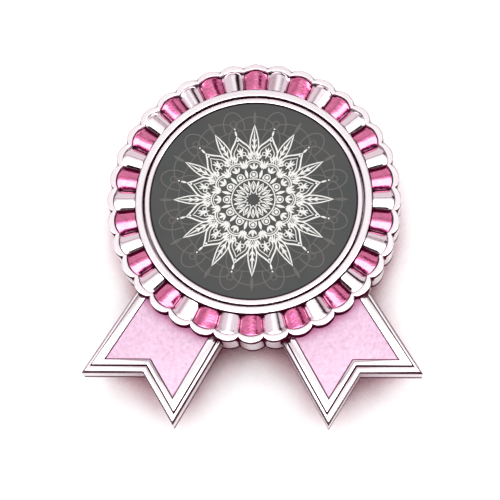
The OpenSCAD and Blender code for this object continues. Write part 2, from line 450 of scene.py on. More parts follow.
def topShade(x, y, z, radius):
    # painted shade on the bezel's foot, the end grooves, the slits and the valleys
    r, p = rosette, rosettePaintedShade
    if radius < r["bezelRadius"] + 0.02:
        onWall = radius > r["bezelRadius"] - 0.02 and z < r["bezelZ"] - r["bezelEdge"] + 0.01
        return 1.0 if onWall else 0.0
    if radius > p["endsFrom"] and abs(z - r["grooveZ"]) < 0.002:
        return p["grooveLeast"] + p["grooveUpwards"] * max(0.0, y / radius) ** 2
    if z < r["bedZ"] + 0.01 or radius < r["bezelRadius"] + p["footWidth"]:
        return 1.0
    return valleyShade(x, y) if z < r["crownZ"] - 0.05 else 0.0


def rimShade(x, y, z):
    # painted shade on the rim and outer wall: ticks at the notches, lines down the notches and
    # under the rim, the wall's foot, and a painted shadow where a tail meets the wall
    r, p = rosette, rosettePaintedShade
    turn = math.remainder(math.atan2(x, y) - halfPitch, 2 * halfPitch)
    fromNotch = abs(turn) * r["rimRadius"]
    if fromNotch < p["tickWidth"] and z > r["wallRows"][0]:
        return 1.0
    if z < r["backZ"] + 0.03 or z > r["rimZ"] - 0.02:
        return 0.0
    if fromNotch < p["notchWidth"] + (p["notchGain"] if z > p["notchGainFrom"] else 0.0):
        return 1.0
    if z < p["footTop"]:
        return 1.0
    if z > r["rimZ"] - r["rimEdge"] + 0.01:
        return 0.0
    fromDown = math.degrees(math.atan2(abs(x), -y))
    overTail = p["tailReach"][0] < fromDown < p["tailReach"][1] and z > p["overTailFrom"]
    return 1.0 if z > p["underRimFrom"] or overTail else p["wallLevel"]


def bodyShade(x, y, z):
    y -= rosette["centreY"]
    radius = math.hypot(x, y)
    return topShade(x, y, z, radius) if radius < rosettePaintedShade["rimFrom"] else rimShade(x, y, z)


# painted shade on the casting: painted shadows and painted dark reflections
paintShade(body, bodyShade)
print("rosette body:", len(body.data.polygons), "faces")


# enamel on every second flute, one thin shell each
fluteEnamel = {
    "thickness": 0.19,
    "rows": (  # share of the flute's length, and how far the row lies below the flute's surface
        (0.05, 0.05), (0.056, 0.01), (0.08, 0.0), (0.35, 0.0), (0.65, 0.0),
        (0.85, 0.0), (0.93, 0.0), (0.972, 0.012), (0.984, 0.05), (0.99, 0.12)),
}
enamelRows = [fluteRow(share, lowered, 0.0)[2:-2] for share, lowered in fluteEnamel["rows"]]
enamelStrip = growRows("enamelStrip", enamelRows)
enamel = joinAll(placeAround(enamelStrip, enamelPlaces))
bpy.data.objects.remove(enamelStrip)
tidyMesh(enamel)
applyModifier(enamel, "SOLIDIFY", thickness=fluteEnamel["thickness"] * mm, offset=-1)
tidyMesh(enamel)
# painted dark reflection along the valleys, as on the casting
paintShade(enamel, lambda x, y, z: valleyShade(x, y - rosette["centreY"]))
smoothShade(enamel, 50)
print("flute enamel:", len(enamel.data.polygons), "faces")


# setting ring, turned round the rosette's axis
ring = {
    "innerRadius": 12.51,
    "outerRadius": 13.11,
    "lowZ": 6.82,
    "highZ": 8.3,
    "edge": 0.12,
    "steps": 180,
}


def turned(name, profile, steps):
    # profile points are (radius, height) in mm, spun once round
    bpy.ops.object.select_all(action="DESELECT")
    bpy.ops.mesh.primitive_circle_add(vertices=len(profile), radius=mm, fill_type="NOTHING")
    obj = bpy.context.object
    obj.name = name
    mesh = editMesh(obj)
    mesh.verts.ensure_lookup_table()
    for vertex, (radius, z) in zip(mesh.verts, profile):
        vertex.co = Vector((radius, rosette["centreY"], z)) * mm
    bmesh.update_edit_mesh(obj.data)
    bpy.ops.mesh.select_all(action="SELECT")
    bpy.ops.mesh.spin(steps=steps, angle=2 * math.pi, axis=(0, 0, 1),
                      center=(0, rosette["centreY"] * mm, 0))
    leaveEdit()
    tidyMesh(obj)
    return obj


rounding = quarterRound(ring["edge"], 5)
rounding.append((ring["edge"] + rosette["flatEdge"], ring["edge"]))
foot = ring["highZ"] - ring["edge"]
profile = [(ring["innerRadius"], ring["lowZ"])]
profile += [(ring["innerRadius"] + inside, foot + up) for inside, up in rounding]
profile += [(ring["outerRadius"] - inside, foot + up) for inside, up in reversed(rounding)]
profile += [(ring["outerRadius"], ring["lowZ"])]
settingRing = turned("settingRing", profile, ring["steps"])
smoothShade(settingRing)
print("setting ring turned")


# ribbon tails: plate with a ledge, a narrow groove, a raised border and a pocket for enamel
tail = {
    "innerTip": (9.05, -27.1),
    "notch": (12.75, -20.9),
    "outerTip": (20.0, -20.9),
    "innerLean": 29.0,
    "outerLean": 31.6,
    "edgeLength": 13.8,
    "backZ": 4.0,
    "footZ": 4.9,
    "lineZ": 6.05,
    "ledgeZ": 6.7,
    "borderZ": 7.0,
    "pocketZ": 6.6,
    "enamelZ": 6.93,
    "ledgeWidth": 0.6,
    "endSlide": (-0.172, 0.3, 0),  # the ledge is this much wider along the swallow-tail end
    "borderWidth": 0.88,
    "ledgeRounding": 0.28,
    "grooveWidth": 0.15,
    "grooveDepth": 0.22,
    "enamelLift": 0.01,
    "enamelGap": 0.11,
    "enamelRounding": 0.08,
    "fineRounding": 0.03,
}


def upFrom(start, lean):
    # the upper end of a tail's long side
    a, length = math.radians(lean), tail["edgeLength"]
    return (start[0] - length * math.sin(a), start[1] + length * math.cos(a))


def pickTop(obj, z):
    # the widest face that looks up at this height becomes the selection
    mesh = bmesh.from_edit_mesh(obj.data)
    flat = [f for f in mesh.faces if abs(f.normal.z) > 0.9
            and abs(f.calc_center_median().z - z * mm) < 0.01 * mm]
    bpy.ops.mesh.select_all(action="DESELECT")
    max(flat, key=lambda f: f.calc_area()).select = True
    mesh.select_flush(True)
    bmesh.update_edit_mesh(obj.data)


def raiseBy(height):
    bpy.ops.mesh.extrude_region_move(TRANSFORM_OT_translate={"value": (0, 0, height * mm)})


def insetBy(width):
    bpy.ops.mesh.inset(thickness=width * mm, depth=0, use_even_offset=True)


def slideEnd(obj, share):
    # moves the swallow-tail end of the selected face up into the tail, or back out
    mesh = bmesh.from_edit_mesh(obj.data)
    face = next(f for f in mesh.faces if f.select)
    for vertex in sorted(face.verts, key=lambda v: v.co.y)[:3]:
        vertex.co += Vector(tail["endSlide"]) * share * mm
    bmesh.update_edit_mesh(obj.data)


def tailBlank(name, z):
    # the tail's flat outline, left in edit mode with its one face selected
    bpy.ops.object.select_all(action="DESELECT")
    bpy.ops.mesh.primitive_circle_add(vertices=5, radius=10 * mm, fill_type="NGON")
    obj = bpy.context.object
    obj.name = name
    corners = [upFrom(tail["innerTip"], tail["innerLean"]), tail["innerTip"], tail["notch"],
               tail["outerTip"], upFrom(tail["outerTip"], tail["outerLean"])]
    mesh = editMesh(obj)
    outline = [loop.vert for loop in next(iter(mesh.faces)).loops]
    for vertex, (x, y) in zip(outline, corners):
        vertex.co = Vector((x, y + rosette["centreY"], z)) * mm
    bmesh.update_edit_mesh(obj.data)
    bpy.ops.mesh.select_all(action="SELECT")
    bpy.ops.mesh.normals_make_consistent(inside=False)
    return obj


def mirrored(obj, name):
    copy = obj.copy()
    copy.data = obj.data.copy()
    copy.name = name
    copy.scale.x = -1
    bpy.context.scene.collection.objects.link(copy)
    pickOnly(copy)
    bpy.ops.object.transform_apply(location=True, rotation=True, scale=True)
    tidyMesh(copy)
    return copy


# painted shade on a tail, by height in millimetres: a painted shadow at its foot, and painted dark
# lines under the ledge, in the groove, in the pocket and at the border
tailPaintedShade = {
    "footTop": 4.5,
    "wallTop": 6.2,
    "wallLevel": 0.15,
    "lineTop": 6.45,  # line under the ledge's rounded edge
    "lineLevel": 0.85,
    "borderFoot": 6.94,
    "borderLevel": 0.5,
    "borderTop": 6.99,
}


def tailShade(x, y, z):
    p = tailPaintedShade
    inGroove = abs(z - tail["ledgeZ"] + tail["grooveDepth"]) < 0.035
    inPocket = abs(z - tail["pocketZ"]) < 0.035
    if z < tail["backZ"] + 0.03 or z > p["borderTop"]:
        return 0.0
    if z < p["footTop"] or inGroove or inPocket:
        return 1.0
    if z < p["wallTop"]:
        return p["wallLevel"]
    if z < p["lineTop"]:
        return p["lineLevel"]
    return p["borderLevel"] if z > p["borderFoot"] else 0.0


rightTail = tailBlank("rightTail", tail["backZ"])
raiseBy(tail["footZ"] - tail["backZ"])
raiseBy(tail["lineZ"] - tail["footZ"])
raiseBy(tail["ledgeZ"] - tail["lineZ"])
bpy.ops.mesh.bevel(offset=tail["ledgeRounding"] * mm, segments=6, profile=0.5, affect="EDGES")
pickTop(rightTail, tail["ledgeZ"])
insetBy(tail["ledgeWidth"] - tail["ledgeRounding"] - tail["grooveWidth"])
slideEnd(rightTail, 1)
raiseBy(-tail["grooveDepth"])
insetBy(tail["grooveWidth"])
raiseBy(tail["grooveDepth"] + tail["borderZ"] - tail["ledgeZ"])
insetBy(tail["borderWidth"])
slideEnd(rightTail, -1)
raiseBy(tail["pocketZ"] - tail["borderZ"])
leaveEdit()
tidyMesh(rightTail)
applyModifier(rightTail, "BEVEL", width=tail["fineRounding"] * mm, segments=2,
              limit_method="ANGLE", angle_limit=math.radians(50))
# painted shade on the tail: painted shadows and painted dark lines
paintShade(rightTail, tailShade)
smoothShade(rightTail, 35)
leftTail = mirrored(rightTail, "leftTail")
print("tails:", len(rightTail.data.polygons), "faces each")

# tail enamel: a flat pillow in each pocket, its edge just clear of the border
rightTailEnamel = tailBlank("rightTailEnamel", tail["pocketZ"] + tail["enamelLift"])
insetBy(tail["ledgeWidth"] + tail["borderWidth"] + tail["enamelGap"])
bpy.ops.mesh.select_mode(type="FACE")
bpy.ops.mesh.select_all(action="INVERT")
bpy.ops.mesh.delete(type="FACE")
bpy.ops.mesh.select_mode(type="VERT")
bpy.ops.mesh.select_all(action="SELECT")
raiseBy(tail["enamelZ"] - tail["pocketZ"] - tail["enamelLift"])
bpy.ops.mesh.bevel(offset=tail["enamelRounding"] * mm, segments=4, profile=0.5, affect="EDGES")
leaveEdit()
tidyMesh(rightTailEnamel)
smoothShade(rightTailEnamel, 35)
leftTailEnamel = mirrored(rightTailEnamel, "leftTailEnamel")
print("tail enamel:", len(rightTailEnamel.data.polygons), "faces each")


# printed ornament on the disc: a round lace of twelve repeats, in thin raised white ink
ornament = {
    "discTopZ": 8.2,
    "inkThickness": 0.012,
    "faintThickness": 0.004,
    "repeats": 12,
    "strokeStep": 0.0006,  # each stroke lies this much above the one before: none share a plane
}


def loopPath(x, y, radius, steps=14):
    angles = [2 * math.pi * k / steps for k in range(steps)]
    return [(x + radius * math.cos(a), y + radius * math.sin(a)) for a in angles]


def leafPath(start, end, halfWidth, steps=9):
    # closed outline of a pointed leaf along +X, widest nearer its foot
    side = []
    for k in range(steps + 1):
        y = halfWidth * math.sin(math.pi * (k / steps) ** 0.8) ** 1.1
        side.append((start + (end - start) * k / steps, y))
    return side + [(x, -y) for x, y in reversed(side[1:-1])]


def archPath(foot, tip, halfWidth, steps=8):
    # open pointed arch from one foot over the tip to the other
    side = []
    for k in range(steps + 1):
        bulge = 0.72 + 0.5 * math.sin(math.pi * min(1.0, k / steps * 1.2))
        y = halfWidth * bulge * (1 - (k / steps) ** 2.4)
        side.append((foot + (tip - foot) * k / steps, y))
    return side + [(x, -y) for x, y in reversed(side[:-1])]


def bowPath(x, reach, halfWidth, turn, steps=14):
    # part of an oval that bulges outwards
    angles = [math.radians(-turn + 2 * turn * k / steps) for k in range(steps + 1)]
    return [(x + reach * math.cos(a), halfWidth * math.sin(a)) for a in angles]


def arcPath(radius, halfSpan, steps=4):
    angles = [math.radians(halfSpan) * (2 * k / steps - 1) for k in range(steps + 1)]
    return [(radius * math.cos(a), radius * math.sin(a)) for a in angles]


def drawStroke(path, width, closed=False, turn=0.0):
    # turn is in repeats: 0.5 sets the stroke between two repeats
    angle = 2 * math.pi / ornament["repeats"] * turn
    points = [(x * math.cos(angle) - y * math.sin(angle), x * math.sin(angle) + y * math.cos(angle))
              for x, y in path]
    return points, width, closed


def drawBlade(start, end, width, turn=0.0, steps=6):
    # a filled leaf from start to end
    def taper(t):
        return width * max(0.08, math.sin(math.pi * t) ** 0.8)
    path = [(start[0] + (end[0] - start[0]) * k / steps, start[1] + (end[1] - start[1]) * k / steps)
            for k in range(steps + 1)]
    return drawStroke(path, taper, False, turn)


def drawDot(x, y, radius, turn=0.0, steps=6):
    def width(t):
        return 2 * radius * max(0.1, math.sin(math.acos(1 - 2 * t)))
    path = [(x - radius * math.cos(math.pi * k / steps), y) for k in range(steps + 1)]
    return drawStroke(path, width, False, turn)


def bladePair(start, end, width, turn=0.0):
    # a blade and its mirror image
    return [drawBlade(start, end, width, turn),
            drawBlade((start[0], -start[1]), (end[0], -end[1]), width, turn)]


def strokeRows(path, width, closed, z):
    # rows of two points, half the width to each side of the path
    rows = []
    count = len(path)
    for k, (x, y) in enumerate(path):
        before = path[k - 1] if closed or k else path[0]
        after = path[(k + 1) % count] if closed or k < count - 1 else path[-1]
        dx, dy = after[0] - before[0], after[1] - before[1]
        half = (width(k / (count - 1)) if callable(width) else width) / 2 / math.hypot(dx, dy)
        rows.append([(x - dy * half, y + dx * half, z), (x + dy * half, y - dx * half, z)])
    return rows + rows[:1] if closed else rows


def printOrnament(strokes, thickness):
    # one repeat's strokes, copied round the disc and given the ink's thickness
    inked = []
    for number, (path, width, closed) in enumerate(strokes, 1):
        z = ornament["discTopZ"] + thickness + ornament["strokeStep"] * number
        inked.append(growRows("inkStroke", strokeRows(path, width, closed, z)))
    sector = joinAll(inked)
    flutes = rosette["fluteCount"]
    inkedLace = joinAll(placeAround(sector, range(0, flutes, flutes // ornament["repeats"])))
    bpy.data.objects.remove(sector)
    tidyMesh(inkedLace, 0.001 * mm)
    applyModifier(inkedLace, "SOLIDIFY", thickness=thickness * mm, offset=-1)
    return inkedLace


laceStrokes = [
    drawStroke(leafPath(0.75, 2.35, 0.33), 0.11, True),
    drawBlade((1.15, 0), (2.05, 0), 0.26),
    drawBlade((1.6, 0), (2.45, 0), 0.26, 0.5),
    drawStroke(arcPath(2.62, 15), 0.14),
    drawStroke(loopPath(3.2, 0, 0.4), 0.13, True),
    drawDot(3.2, 0, 0.2),
    drawBlade((2.75, 0), (3.95, 0), 0.36, 0.5),
    drawBlade((2.72, 0), (3.3, 0), 0.16, 0.26),
    drawBlade((2.72, 0), (3.3, 0), 0.16, -0.26),
    drawStroke(bowPath(4.2, 0.85, 1.04, 105), 0.16),
    drawStroke(bowPath(4.2, 0.6, 0.78, 100), 0.1),
    drawBlade((3.8, 0), (4.7, 0), 0.3),
    *bladePair((3.85, 0.1), (4.45, 0.5), 0.26),
    *bladePair((4.0, 0.1), (5.2, 0.42), 0.3, 0.5),
    drawBlade((4.3, 0), (5.1, 0), 0.2, 0.5),
    drawStroke(archPath(5.15, 8.3, 1.12), 0.19, False, 0.5),
    drawStroke(archPath(5.35, 7.5, 0.8), 0.1, False, 0.5),
    drawStroke(loopPath(5.95, 0.33, 0.22, 10), 0.11, True, 0.5),
    drawStroke(loopPath(5.95, -0.33, 0.22, 10), 0.11, True, 0.5),
    drawBlade((5.35, 0), (6.9, 0), 0.24, 0.5),
    *bladePair((6.1, 0.06), (6.75, 0.36), 0.2, 0.5),
    drawDot(7.8, 0, 0.12, 0.5),
    drawBlade((8.35, 0), (9.1, 0), 0.24, 0.5),
    drawDot(9.35, 0, 0.1, 0.5),
    drawStroke(leafPath(5.2, 9.6, 0.52), 0.15, True),
    drawBlade((5.5, 0), (9.0, 0), 0.22),
    *bladePair((5.6, 0), (6.3, 0.34), 0.16),
    *bladePair((6.4, 0), (7.1, 0.34), 0.16),
    *bladePair((7.2, 0), (7.8, 0.28), 0.14),
    *bladePair((5.05, 0.2), (6.2, 0.8), 0.28),
    *bladePair((5.05, 0.45), (5.75, 1.05), 0.22),
]
lace = printOrnament(laceStrokes, ornament["inkThickness"])
print("ornament:", len(lace.data.polygons), "faces")

# faint second print behind it, in a grey a shade lighter than the disc
faintStrokes = [
    drawStroke(loopPath(7.6, 0, 3.1, 30), 0.13, True),
    drawStroke(bowPath(9.7, 1.9, 1.25, 115), 0.15, False, 0.5),
    drawStroke(loopPath(10.0, 0, 0.42, 12), 0.12, True, 0.5),
    drawStroke(arcPath(9.05, 15), 0.12),
    drawBlade((9.6, 0), (11.4, 0), 0.4),
]
faintLace = printOrnament(faintStrokes, ornament["faintThickness"])
print("faint ornament:", len(faintLace.data.polygons), "faces")

# bar pin: a merged copy of the frame's own, with its edges rounded over
pin = {
    "edge": 0.07,
    "roundFrom": 40,  # degrees
}
barPin = bpy.data.objects.new("barPin", nodes["bar_pin"].data.copy())
bpy.context.scene.collection.objects.link(barPin)
tidyMesh(barPin)
editMesh(barPin)
bpy.ops.mesh.select_all(action="SELECT")
bpy.ops.mesh.dissolve_limited(angle_limit=math.radians(1))
leaveEdit()
applyModifier(barPin, "BEVEL", width=pin["edge"] * mm, segments=2, limit_method="ANGLE",
              angle_limit=math.radians(pin["roundFrom"]))
smoothShade(barPin)
print("bar pin:", len(barPin.data.polygons), "faces")


def perMetre(sizeInMm):
    # texture scale for a pattern of this real size
    return 1 / (sizeInMm * mm)


# bright silver plating over polished cast zinc: a mirror with a fine ripple,
# and painted shade in its crevices, joints and edges, from an ambient-occlusion mask and the shade
# painted per vertex
plating = {
    "hazeColour": "#F4EAEF",
    "paintedShadeColour": "#4C0C28",
    "grain": 0.9,  # size of the ripple, mm
    "haze": 5.0,
    "creviceReach": 0.4,
    "fullShadeOpenness": 0.34,  # how open a crevice is that is fully painted in shade,
    "noShadeOpenness": 0.58,  # and one that gets no painted shade
}


def platedMetal(name, tint, roughness, ripple):
    material, tree = newMaterial(name)
    place = addNode(tree, "ShaderNodeTexCoord", (-1300, 0)).outputs["Object"]
    grain = addNode(
        tree, "ShaderNodeTexNoise", (-1100, 200), None,
        {"Vector": place, "Scale": perMetre(plating["grain"]), "Detail": 5.0, "Roughness": 0.6})
    haze = addNode(tree, "ShaderNodeTexNoise", (-1100, -100), None,
                   {"Vector": place, "Scale": perMetre(plating["haze"]), "Detail": 2.0})
    rough = addNode(tree, "ShaderNodeMapRange", (-850, -100), None,
                    {"Value": haze.outputs["Fac"], "From Min": 0.3, "From Max": 0.7,
                     "To Min": roughness * 0.7, "To Max": roughness * 1.5})
    bump = addNode(
        tree, "ShaderNodeBump", (-600, 200), None,
        {"Height": grain.outputs["Fac"], "Strength": ripple, "Distance": 0.04 * mm})
    tone = addNode(
        tree, "ShaderNodeMix", (-600, 500), {"data_type": "RGBA"},
        {"Factor": haze.outputs["Fac"], "A": hexColour(tint),
         "B": hexColour(plating["hazeColour"])})
    # painted shade: an ambient-occlusion mask and the shade painted per vertex turn the silver dark
    # and matt
    crevice = addNode(tree, "ShaderNodeAmbientOcclusion", (-1100, -400), {"samples": 8},
                      {"Distance": plating["creviceReach"] * mm})
    shade = addNode(tree, "ShaderNodeAttribute", (-1100, -600), {"attribute_name": "shade"})
    cavity = addNode(
        tree, "ShaderNodeMapRange", (-850, -400), {"interpolation_type": "SMOOTHSTEP"},
        {"Value": crevice.outputs["AO"], "From Min": plating["fullShadeOpenness"],
         "From Max": plating["noShadeOpenness"], "To Min": 1.0, "To Max": 0.0})
    shadeLevel = addNode(
        tree, "ShaderNodeMath", (-600, -400), {"operation": "MAXIMUM", "use_clamp": True},
        {0: cavity.outputs["Result"], 1: shade.outputs["Fac"]})
    dark = addNode(
        tree, "ShaderNodeMath", (-500, 700), {"operation": "MULTIPLY", "use_clamp": True},
        {0: shadeLevel.outputs["Value"], 1: 2.0})
    shadedColour = addNode(
        tree, "ShaderNodeMix", (-350, 400), {"data_type": "RGBA"},
        {"Factor": dark.outputs["Value"], "A": tone.outputs["Result"],
         "B": hexColour(plating["paintedShadeColour"])})
    dull = addNode(tree, "ShaderNodeMath", (-350, -50), {"operation": "MULTIPLY_ADD"},
                   {0: shadeLevel.outputs["Value"], 1: 0.6, 2: rough.outputs["Result"]})
    unshadedMetal = addNode(
        tree, "ShaderNodeMath", (-350, -250), {"operation": "MULTIPLY_ADD", "use_clamp": True},
        {0: shadeLevel.outputs["Value"], 1: -2.0, 2: 2.0})
    shader = addNode(
        tree, "ShaderNodeBsdfPrincipled", (-100, 100), None,
        {"Base Color": shadedColour.outputs["Result"], "Roughness": dull.outputs["Value"],
         "Normal": bump.outputs["Normal"], "Metallic": unshadedMetal.outputs["Value"],
         "Specular IOR Level": 0.0})
    addNode(tree, "ShaderNodeOutputMaterial", (200, 100), None,
            {"Surface": shader.outputs["BSDF"]})
    return material


castPlating = platedMetal("silverPlatedCastZinc", "#FDF6F9", 0.12, 0.25)
ringPlating = platedMetal("silverPlatedRing", "#FDF6F9", 0.09, 0.1)
pinSteel = platedMetal("nickelPlatedPinSteel", "#C9C6C4", 0.25, 0.2)


# glossy enamel with glitter ground into it: flakes make its gloss stronger, its colour uneven
hotPink = {
    "colours": ("#C93A80", "#E85C9C"),
    "edgeShadeColour": "#2A0614",
    "edgeShadeReach": 0.5,  # how far from its edges the painted shade reaches, mm
    "shadeEndsAt": 0.5,  # openness at which the painted shade ends
    "metallic": 0.9,
    "coat": 1.0,
    "roughness": 0.17,
    "flake": 0.3,  # coarser than the real glitter, so that it shows in a picture of this size
}
palePink = {
    "colours": ("#C4A0B8", "#DDBAD3"),
    # a painted pink shade by the rosette's wall, where the wall's shade falls on the enamel
    "edgeShadeColour": "#DE7FB4",
    "edgeShadeReach": 1.5,
    "shadeEndsAt": 0.97,
    "metallic": 0.0,
    "coat": 0.15,
    "roughness": 0.4,
    "flake": 0.2,
}


def glitterEnamel(name, look):
    material, tree = newMaterial(name)
    place = addNode(tree, "ShaderNodeTexCoord", (-1300, 0)).outputs["Object"]
    flakes = addNode(tree, "ShaderNodeTexVoronoi", (-1100, 300), None,
                     {"Vector": place, "Scale": perMetre(look["flake"])})
    cloud = addNode(
        tree, "ShaderNodeTexNoise", (-1100, 0), None,
        {"Vector": place, "Scale": perMetre(look["flake"] * 2.5), "Detail": 4.0, "Roughness": 0.75})
    pick = addNode(tree, "ShaderNodeValToRGB", (-850, 100), None, {"Fac": cloud.outputs["Fac"]})
    for stop, position, colour in zip(pick.color_ramp.elements, (0.35, 0.65), look["colours"]):
        stop.position = position
        stop.color = hexColour(colour)
    # painted shade near edges and crevices, from an ambient-occlusion mask and the shade painted
    # per vertex; the coat is taken away there too
    crevice = addNode(tree, "ShaderNodeAmbientOcclusion", (-850, -250), {"samples": 8},
                      {"Distance": look["edgeShadeReach"] * mm})
    unshadedByAO = addNode(
        tree, "ShaderNodeMapRange", (-600, -250), {"interpolation_type": "SMOOTHSTEP"},
        {"Value": crevice.outputs["AO"], "From Min": 0.25, "From Max": look["shadeEndsAt"]})
    shade = addNode(tree, "ShaderNodeAttribute", (-850, -700), {"attribute_name": "shade"})
    # the share left without painted shade
    clear = addNode(
        tree, "ShaderNodeMath", (-500, -600), {"operation": "SUBTRACT", "use_clamp": True},
        {0: unshadedByAO.outputs["Result"], 1: shade.outputs["Fac"]})
    gloss = addNode(tree, "ShaderNodeMath", (-300, -600), {"operation": "MULTIPLY"},
                    {0: clear.outputs["Value"], 1: look["coat"]})
    shadedColour = addNode(
        tree, "ShaderNodeMix", (-350, 200), {"data_type": "RGBA"},
        {"Factor": clear.outputs["Value"], "A": hexColour(look["edgeShadeColour"]),
         "B": pick.outputs["Color"]})
    rough = addNode(
        tree, "ShaderNodeMapRange", (-600, -500), None,
        {"Value": flakes.outputs["Distance"],
         "To Min": look["roughness"] * 0.6, "To Max": look["roughness"] * 1.6})
    bump = addNode(
        tree, "ShaderNodeBump", (-350, -100), None,
        {"Height": flakes.outputs["Distance"], "Strength": 0.6, "Distance": 0.04 * mm})
    shader = addNode(
        tree, "ShaderNodeBsdfPrincipled", (-100, 100), None,
        {"Base Color": shadedColour.outputs["Result"], "Roughness": rough.outputs["Result"],
         "Normal": bump.outputs["Normal"], "Metallic": look["metallic"],
         "Coat Weight": gloss.outputs["Value"], "Coat IOR": 2.3, "Coat Roughness": 0.08})
    addNode(tree, "ShaderNodeOutputMaterial", (200, 100), None,
            {"Surface": shader.outputs["BSDF"]})
    return material


hotPinkEnamel = glitterEnamel("hotPinkGlitterEnamel", hotPink)
palePinkEnamel = glitterEnamel("palePinkGlitterEnamel", palePink)


# matt grey print on the disc, with painted shade in a narrow band at its rim, where the setting
# ring meets it
greyPrint = {
    "colours": ("#3A4040", "#4A4947"),
    "rimShadeColour": "#160A0E",
    "rimShadeBand": (0.22, 0.1),  # where the band starts and is full, in mm from the disc's edge
    "cloud": 4.5,
}
discPrint, tree = newMaterial("greyPrintedDisc")
place = addNode(tree, "ShaderNodeTexCoord", (-1300, 0)).outputs["Object"]
cloud = addNode(tree, "ShaderNodeTexNoise", (-1100, 200), None,
                {"Vector": place, "Scale": perMetre(greyPrint["cloud"]), "Detail": 3.0})
darker, lighter = (hexColour(code) for code in greyPrint["colours"])
tone = addNode(tree, "ShaderNodeMix", (-600, 300), {"data_type": "RGBA"},
               {"Factor": cloud.outputs["Fac"], "A": darker, "B": lighter})
centred = addNode(
    tree, "ShaderNodeVectorMath", (-1100, -100), {"operation": "MULTIPLY_ADD"},
    {0: place, 1: (1.0, 1.0, 0.0), 2: (0.0, -rosette["centreY"] * mm, 0.0)})
radius = addNode(tree, "ShaderNodeVectorMath", (-900, -100), {"operation": "LENGTH"},
                 {0: centred.outputs["Vector"]})
bandStart, bandFull = ((rosette["discRadius"] - inside) * mm for inside in greyPrint["rimShadeBand"])
# painted shade in a narrow band at the disc's rim
band = addNode(
    tree, "ShaderNodeMapRange", (-700, -100), {"interpolation_type": "SMOOTHSTEP"},
    {"Value": radius.outputs["Value"], "From Min": bandStart, "From Max": bandFull})
edged = addNode(
    tree, "ShaderNodeMix", (-350, 200), {"data_type": "RGBA"},
    {"Factor": band.outputs["Result"], "A": tone.outputs["Result"],
     "B": hexColour(greyPrint["rimShadeColour"])})
shader = addNode(
    tree, "ShaderNodeBsdfPrincipled", (-100, 100), None,
    {"Base Color": edged.outputs["Result"], "Roughness": 0.5, "Specular IOR Level": 0.15})
addNode(tree, "ShaderNodeOutputMaterial", (200, 100), None,
        {"Surface": shader.outputs["BSDF"]})


# screen-printed ink: even and matt, with slightly uneven cover
def printInk(name, thin, full):
    material, tree = newMaterial(name)
    place = addNode(tree, "ShaderNodeTexCoord", (-900, 0)).outputs["Object"]
    cover = addNode(tree, "ShaderNodeTexNoise", (-700, 0), None,
                    {"Vector": place, "Scale": perMetre(0.35), "Detail": 3.0})
    tone = addNode(tree, "ShaderNodeMix", (-400, 100), {"data_type": "RGBA"},
                   {"Factor": cover.outputs["Fac"], "A": hexColour(thin), "B": hexColour(full)})
    shader = addNode(
        tree, "ShaderNodeBsdfPrincipled", (-100, 100), None,
        {"Base Color": tone.outputs["Result"], "Roughness": 0.5, "Specular IOR Level": 0.2})
    addNode(tree, "ShaderNodeOutputMaterial", (200, 100), None,
            {"Surface": shader.outputs["BSDF"]})
    return material


whiteInk = printInk("whiteScreenInk", "#C8C9C6", "#DADBD7")
faintInk = printInk("faintGreyScreenInk", "#565452", "#5E5B58")

finishPiece(body, "rosetteCasting", castPlating, ["casting"])
finishPiece(rightTail, "rightTailCasting", castPlating, ["casting"])
finishPiece(leftTail, "leftTailCasting", castPlating, ["casting"])
finishPiece(settingRing, "discSettingRing", ringPlating, ["setting_ring"])
finishPiece(enamel, "fluteEnamel", hotPinkEnamel,
            [name for name in nodes if name.startswith("flute_enamel")])
finishPiece(rightTailEnamel, "rightTailEnamel", palePinkEnamel,
            ["right_tail_enamel"])
finishPiece(leftTailEnamel, "leftTailEnamel", palePinkEnamel,
            ["left_tail_enamel"])
finishPiece(lace, "discOrnament", whiteInk)
finishPiece(faintLace, "discFaintOrnament", faintInk)
finishPiece(barPin, "barPin", pinSteel, ["bar_pin"])
disc = nodes["printed_disc"]
disc.data.materials.clear()
disc.data.materials.append(discPrint)
print("materials given")


# pale sheet on the floor, with a painted wine-red shadow where the brooch closes it in
floorSheet = {
    "size": 3.0,  # metres
    "reach": 6.5,  # how far from a wall the painted shadow reaches, mm
    "shadowStops": (  # openness and colour
        (0.5, "#68102A"), (0.61, "#DC9EAE"), (0.66, "#F0ECEE"), (0.8, "#F9F9F9")),
}
bpy.ops.object.select_all(action="DESELECT")
bpy.ops.mesh.primitive_plane_add(size=floorSheet["size"], location=(0, 0, 0))
floor = bpy.context.object
floor.name = "paleFloor"
floorPaint, tree = newMaterial("paleStudioFloor")
# painted shadow: the sheet's colour follows an ambient-occlusion mask
openness = addNode(tree, "ShaderNodeAmbientOcclusion", (-700, 0), {"samples": 8},
                   {"Distance": floorSheet["reach"] * mm})
paintedShadow = addNode(tree, "ShaderNodeValToRGB", (-400, 0), None, {"Fac": openness.outputs["AO"]})
ramp = paintedShadow.color_ramp
while len(ramp.elements) < len(floorSheet["shadowStops"]):
    ramp.elements.new(1.0)
for stop, (position, colour) in zip(ramp.elements, floorSheet["shadowStops"]):
    stop.position = position
    stop.color = hexColour(colour)
floorShader = addNode(
    tree, "ShaderNodeBsdfPrincipled", (0, 0), None,
    {"Base Color": paintedShadow.outputs["Color"], "Roughness": 0.8, "Specular IOR Level": 0.0})
addNode(tree, "ShaderNodeOutputMaterial", (300, 0), None,
        {"Surface": floorShader.outputs["BSDF"]})
floor.data.materials.append(floorPaint)
print("floor laid")


def grey(level):
    return (level, level, level, 1.0)


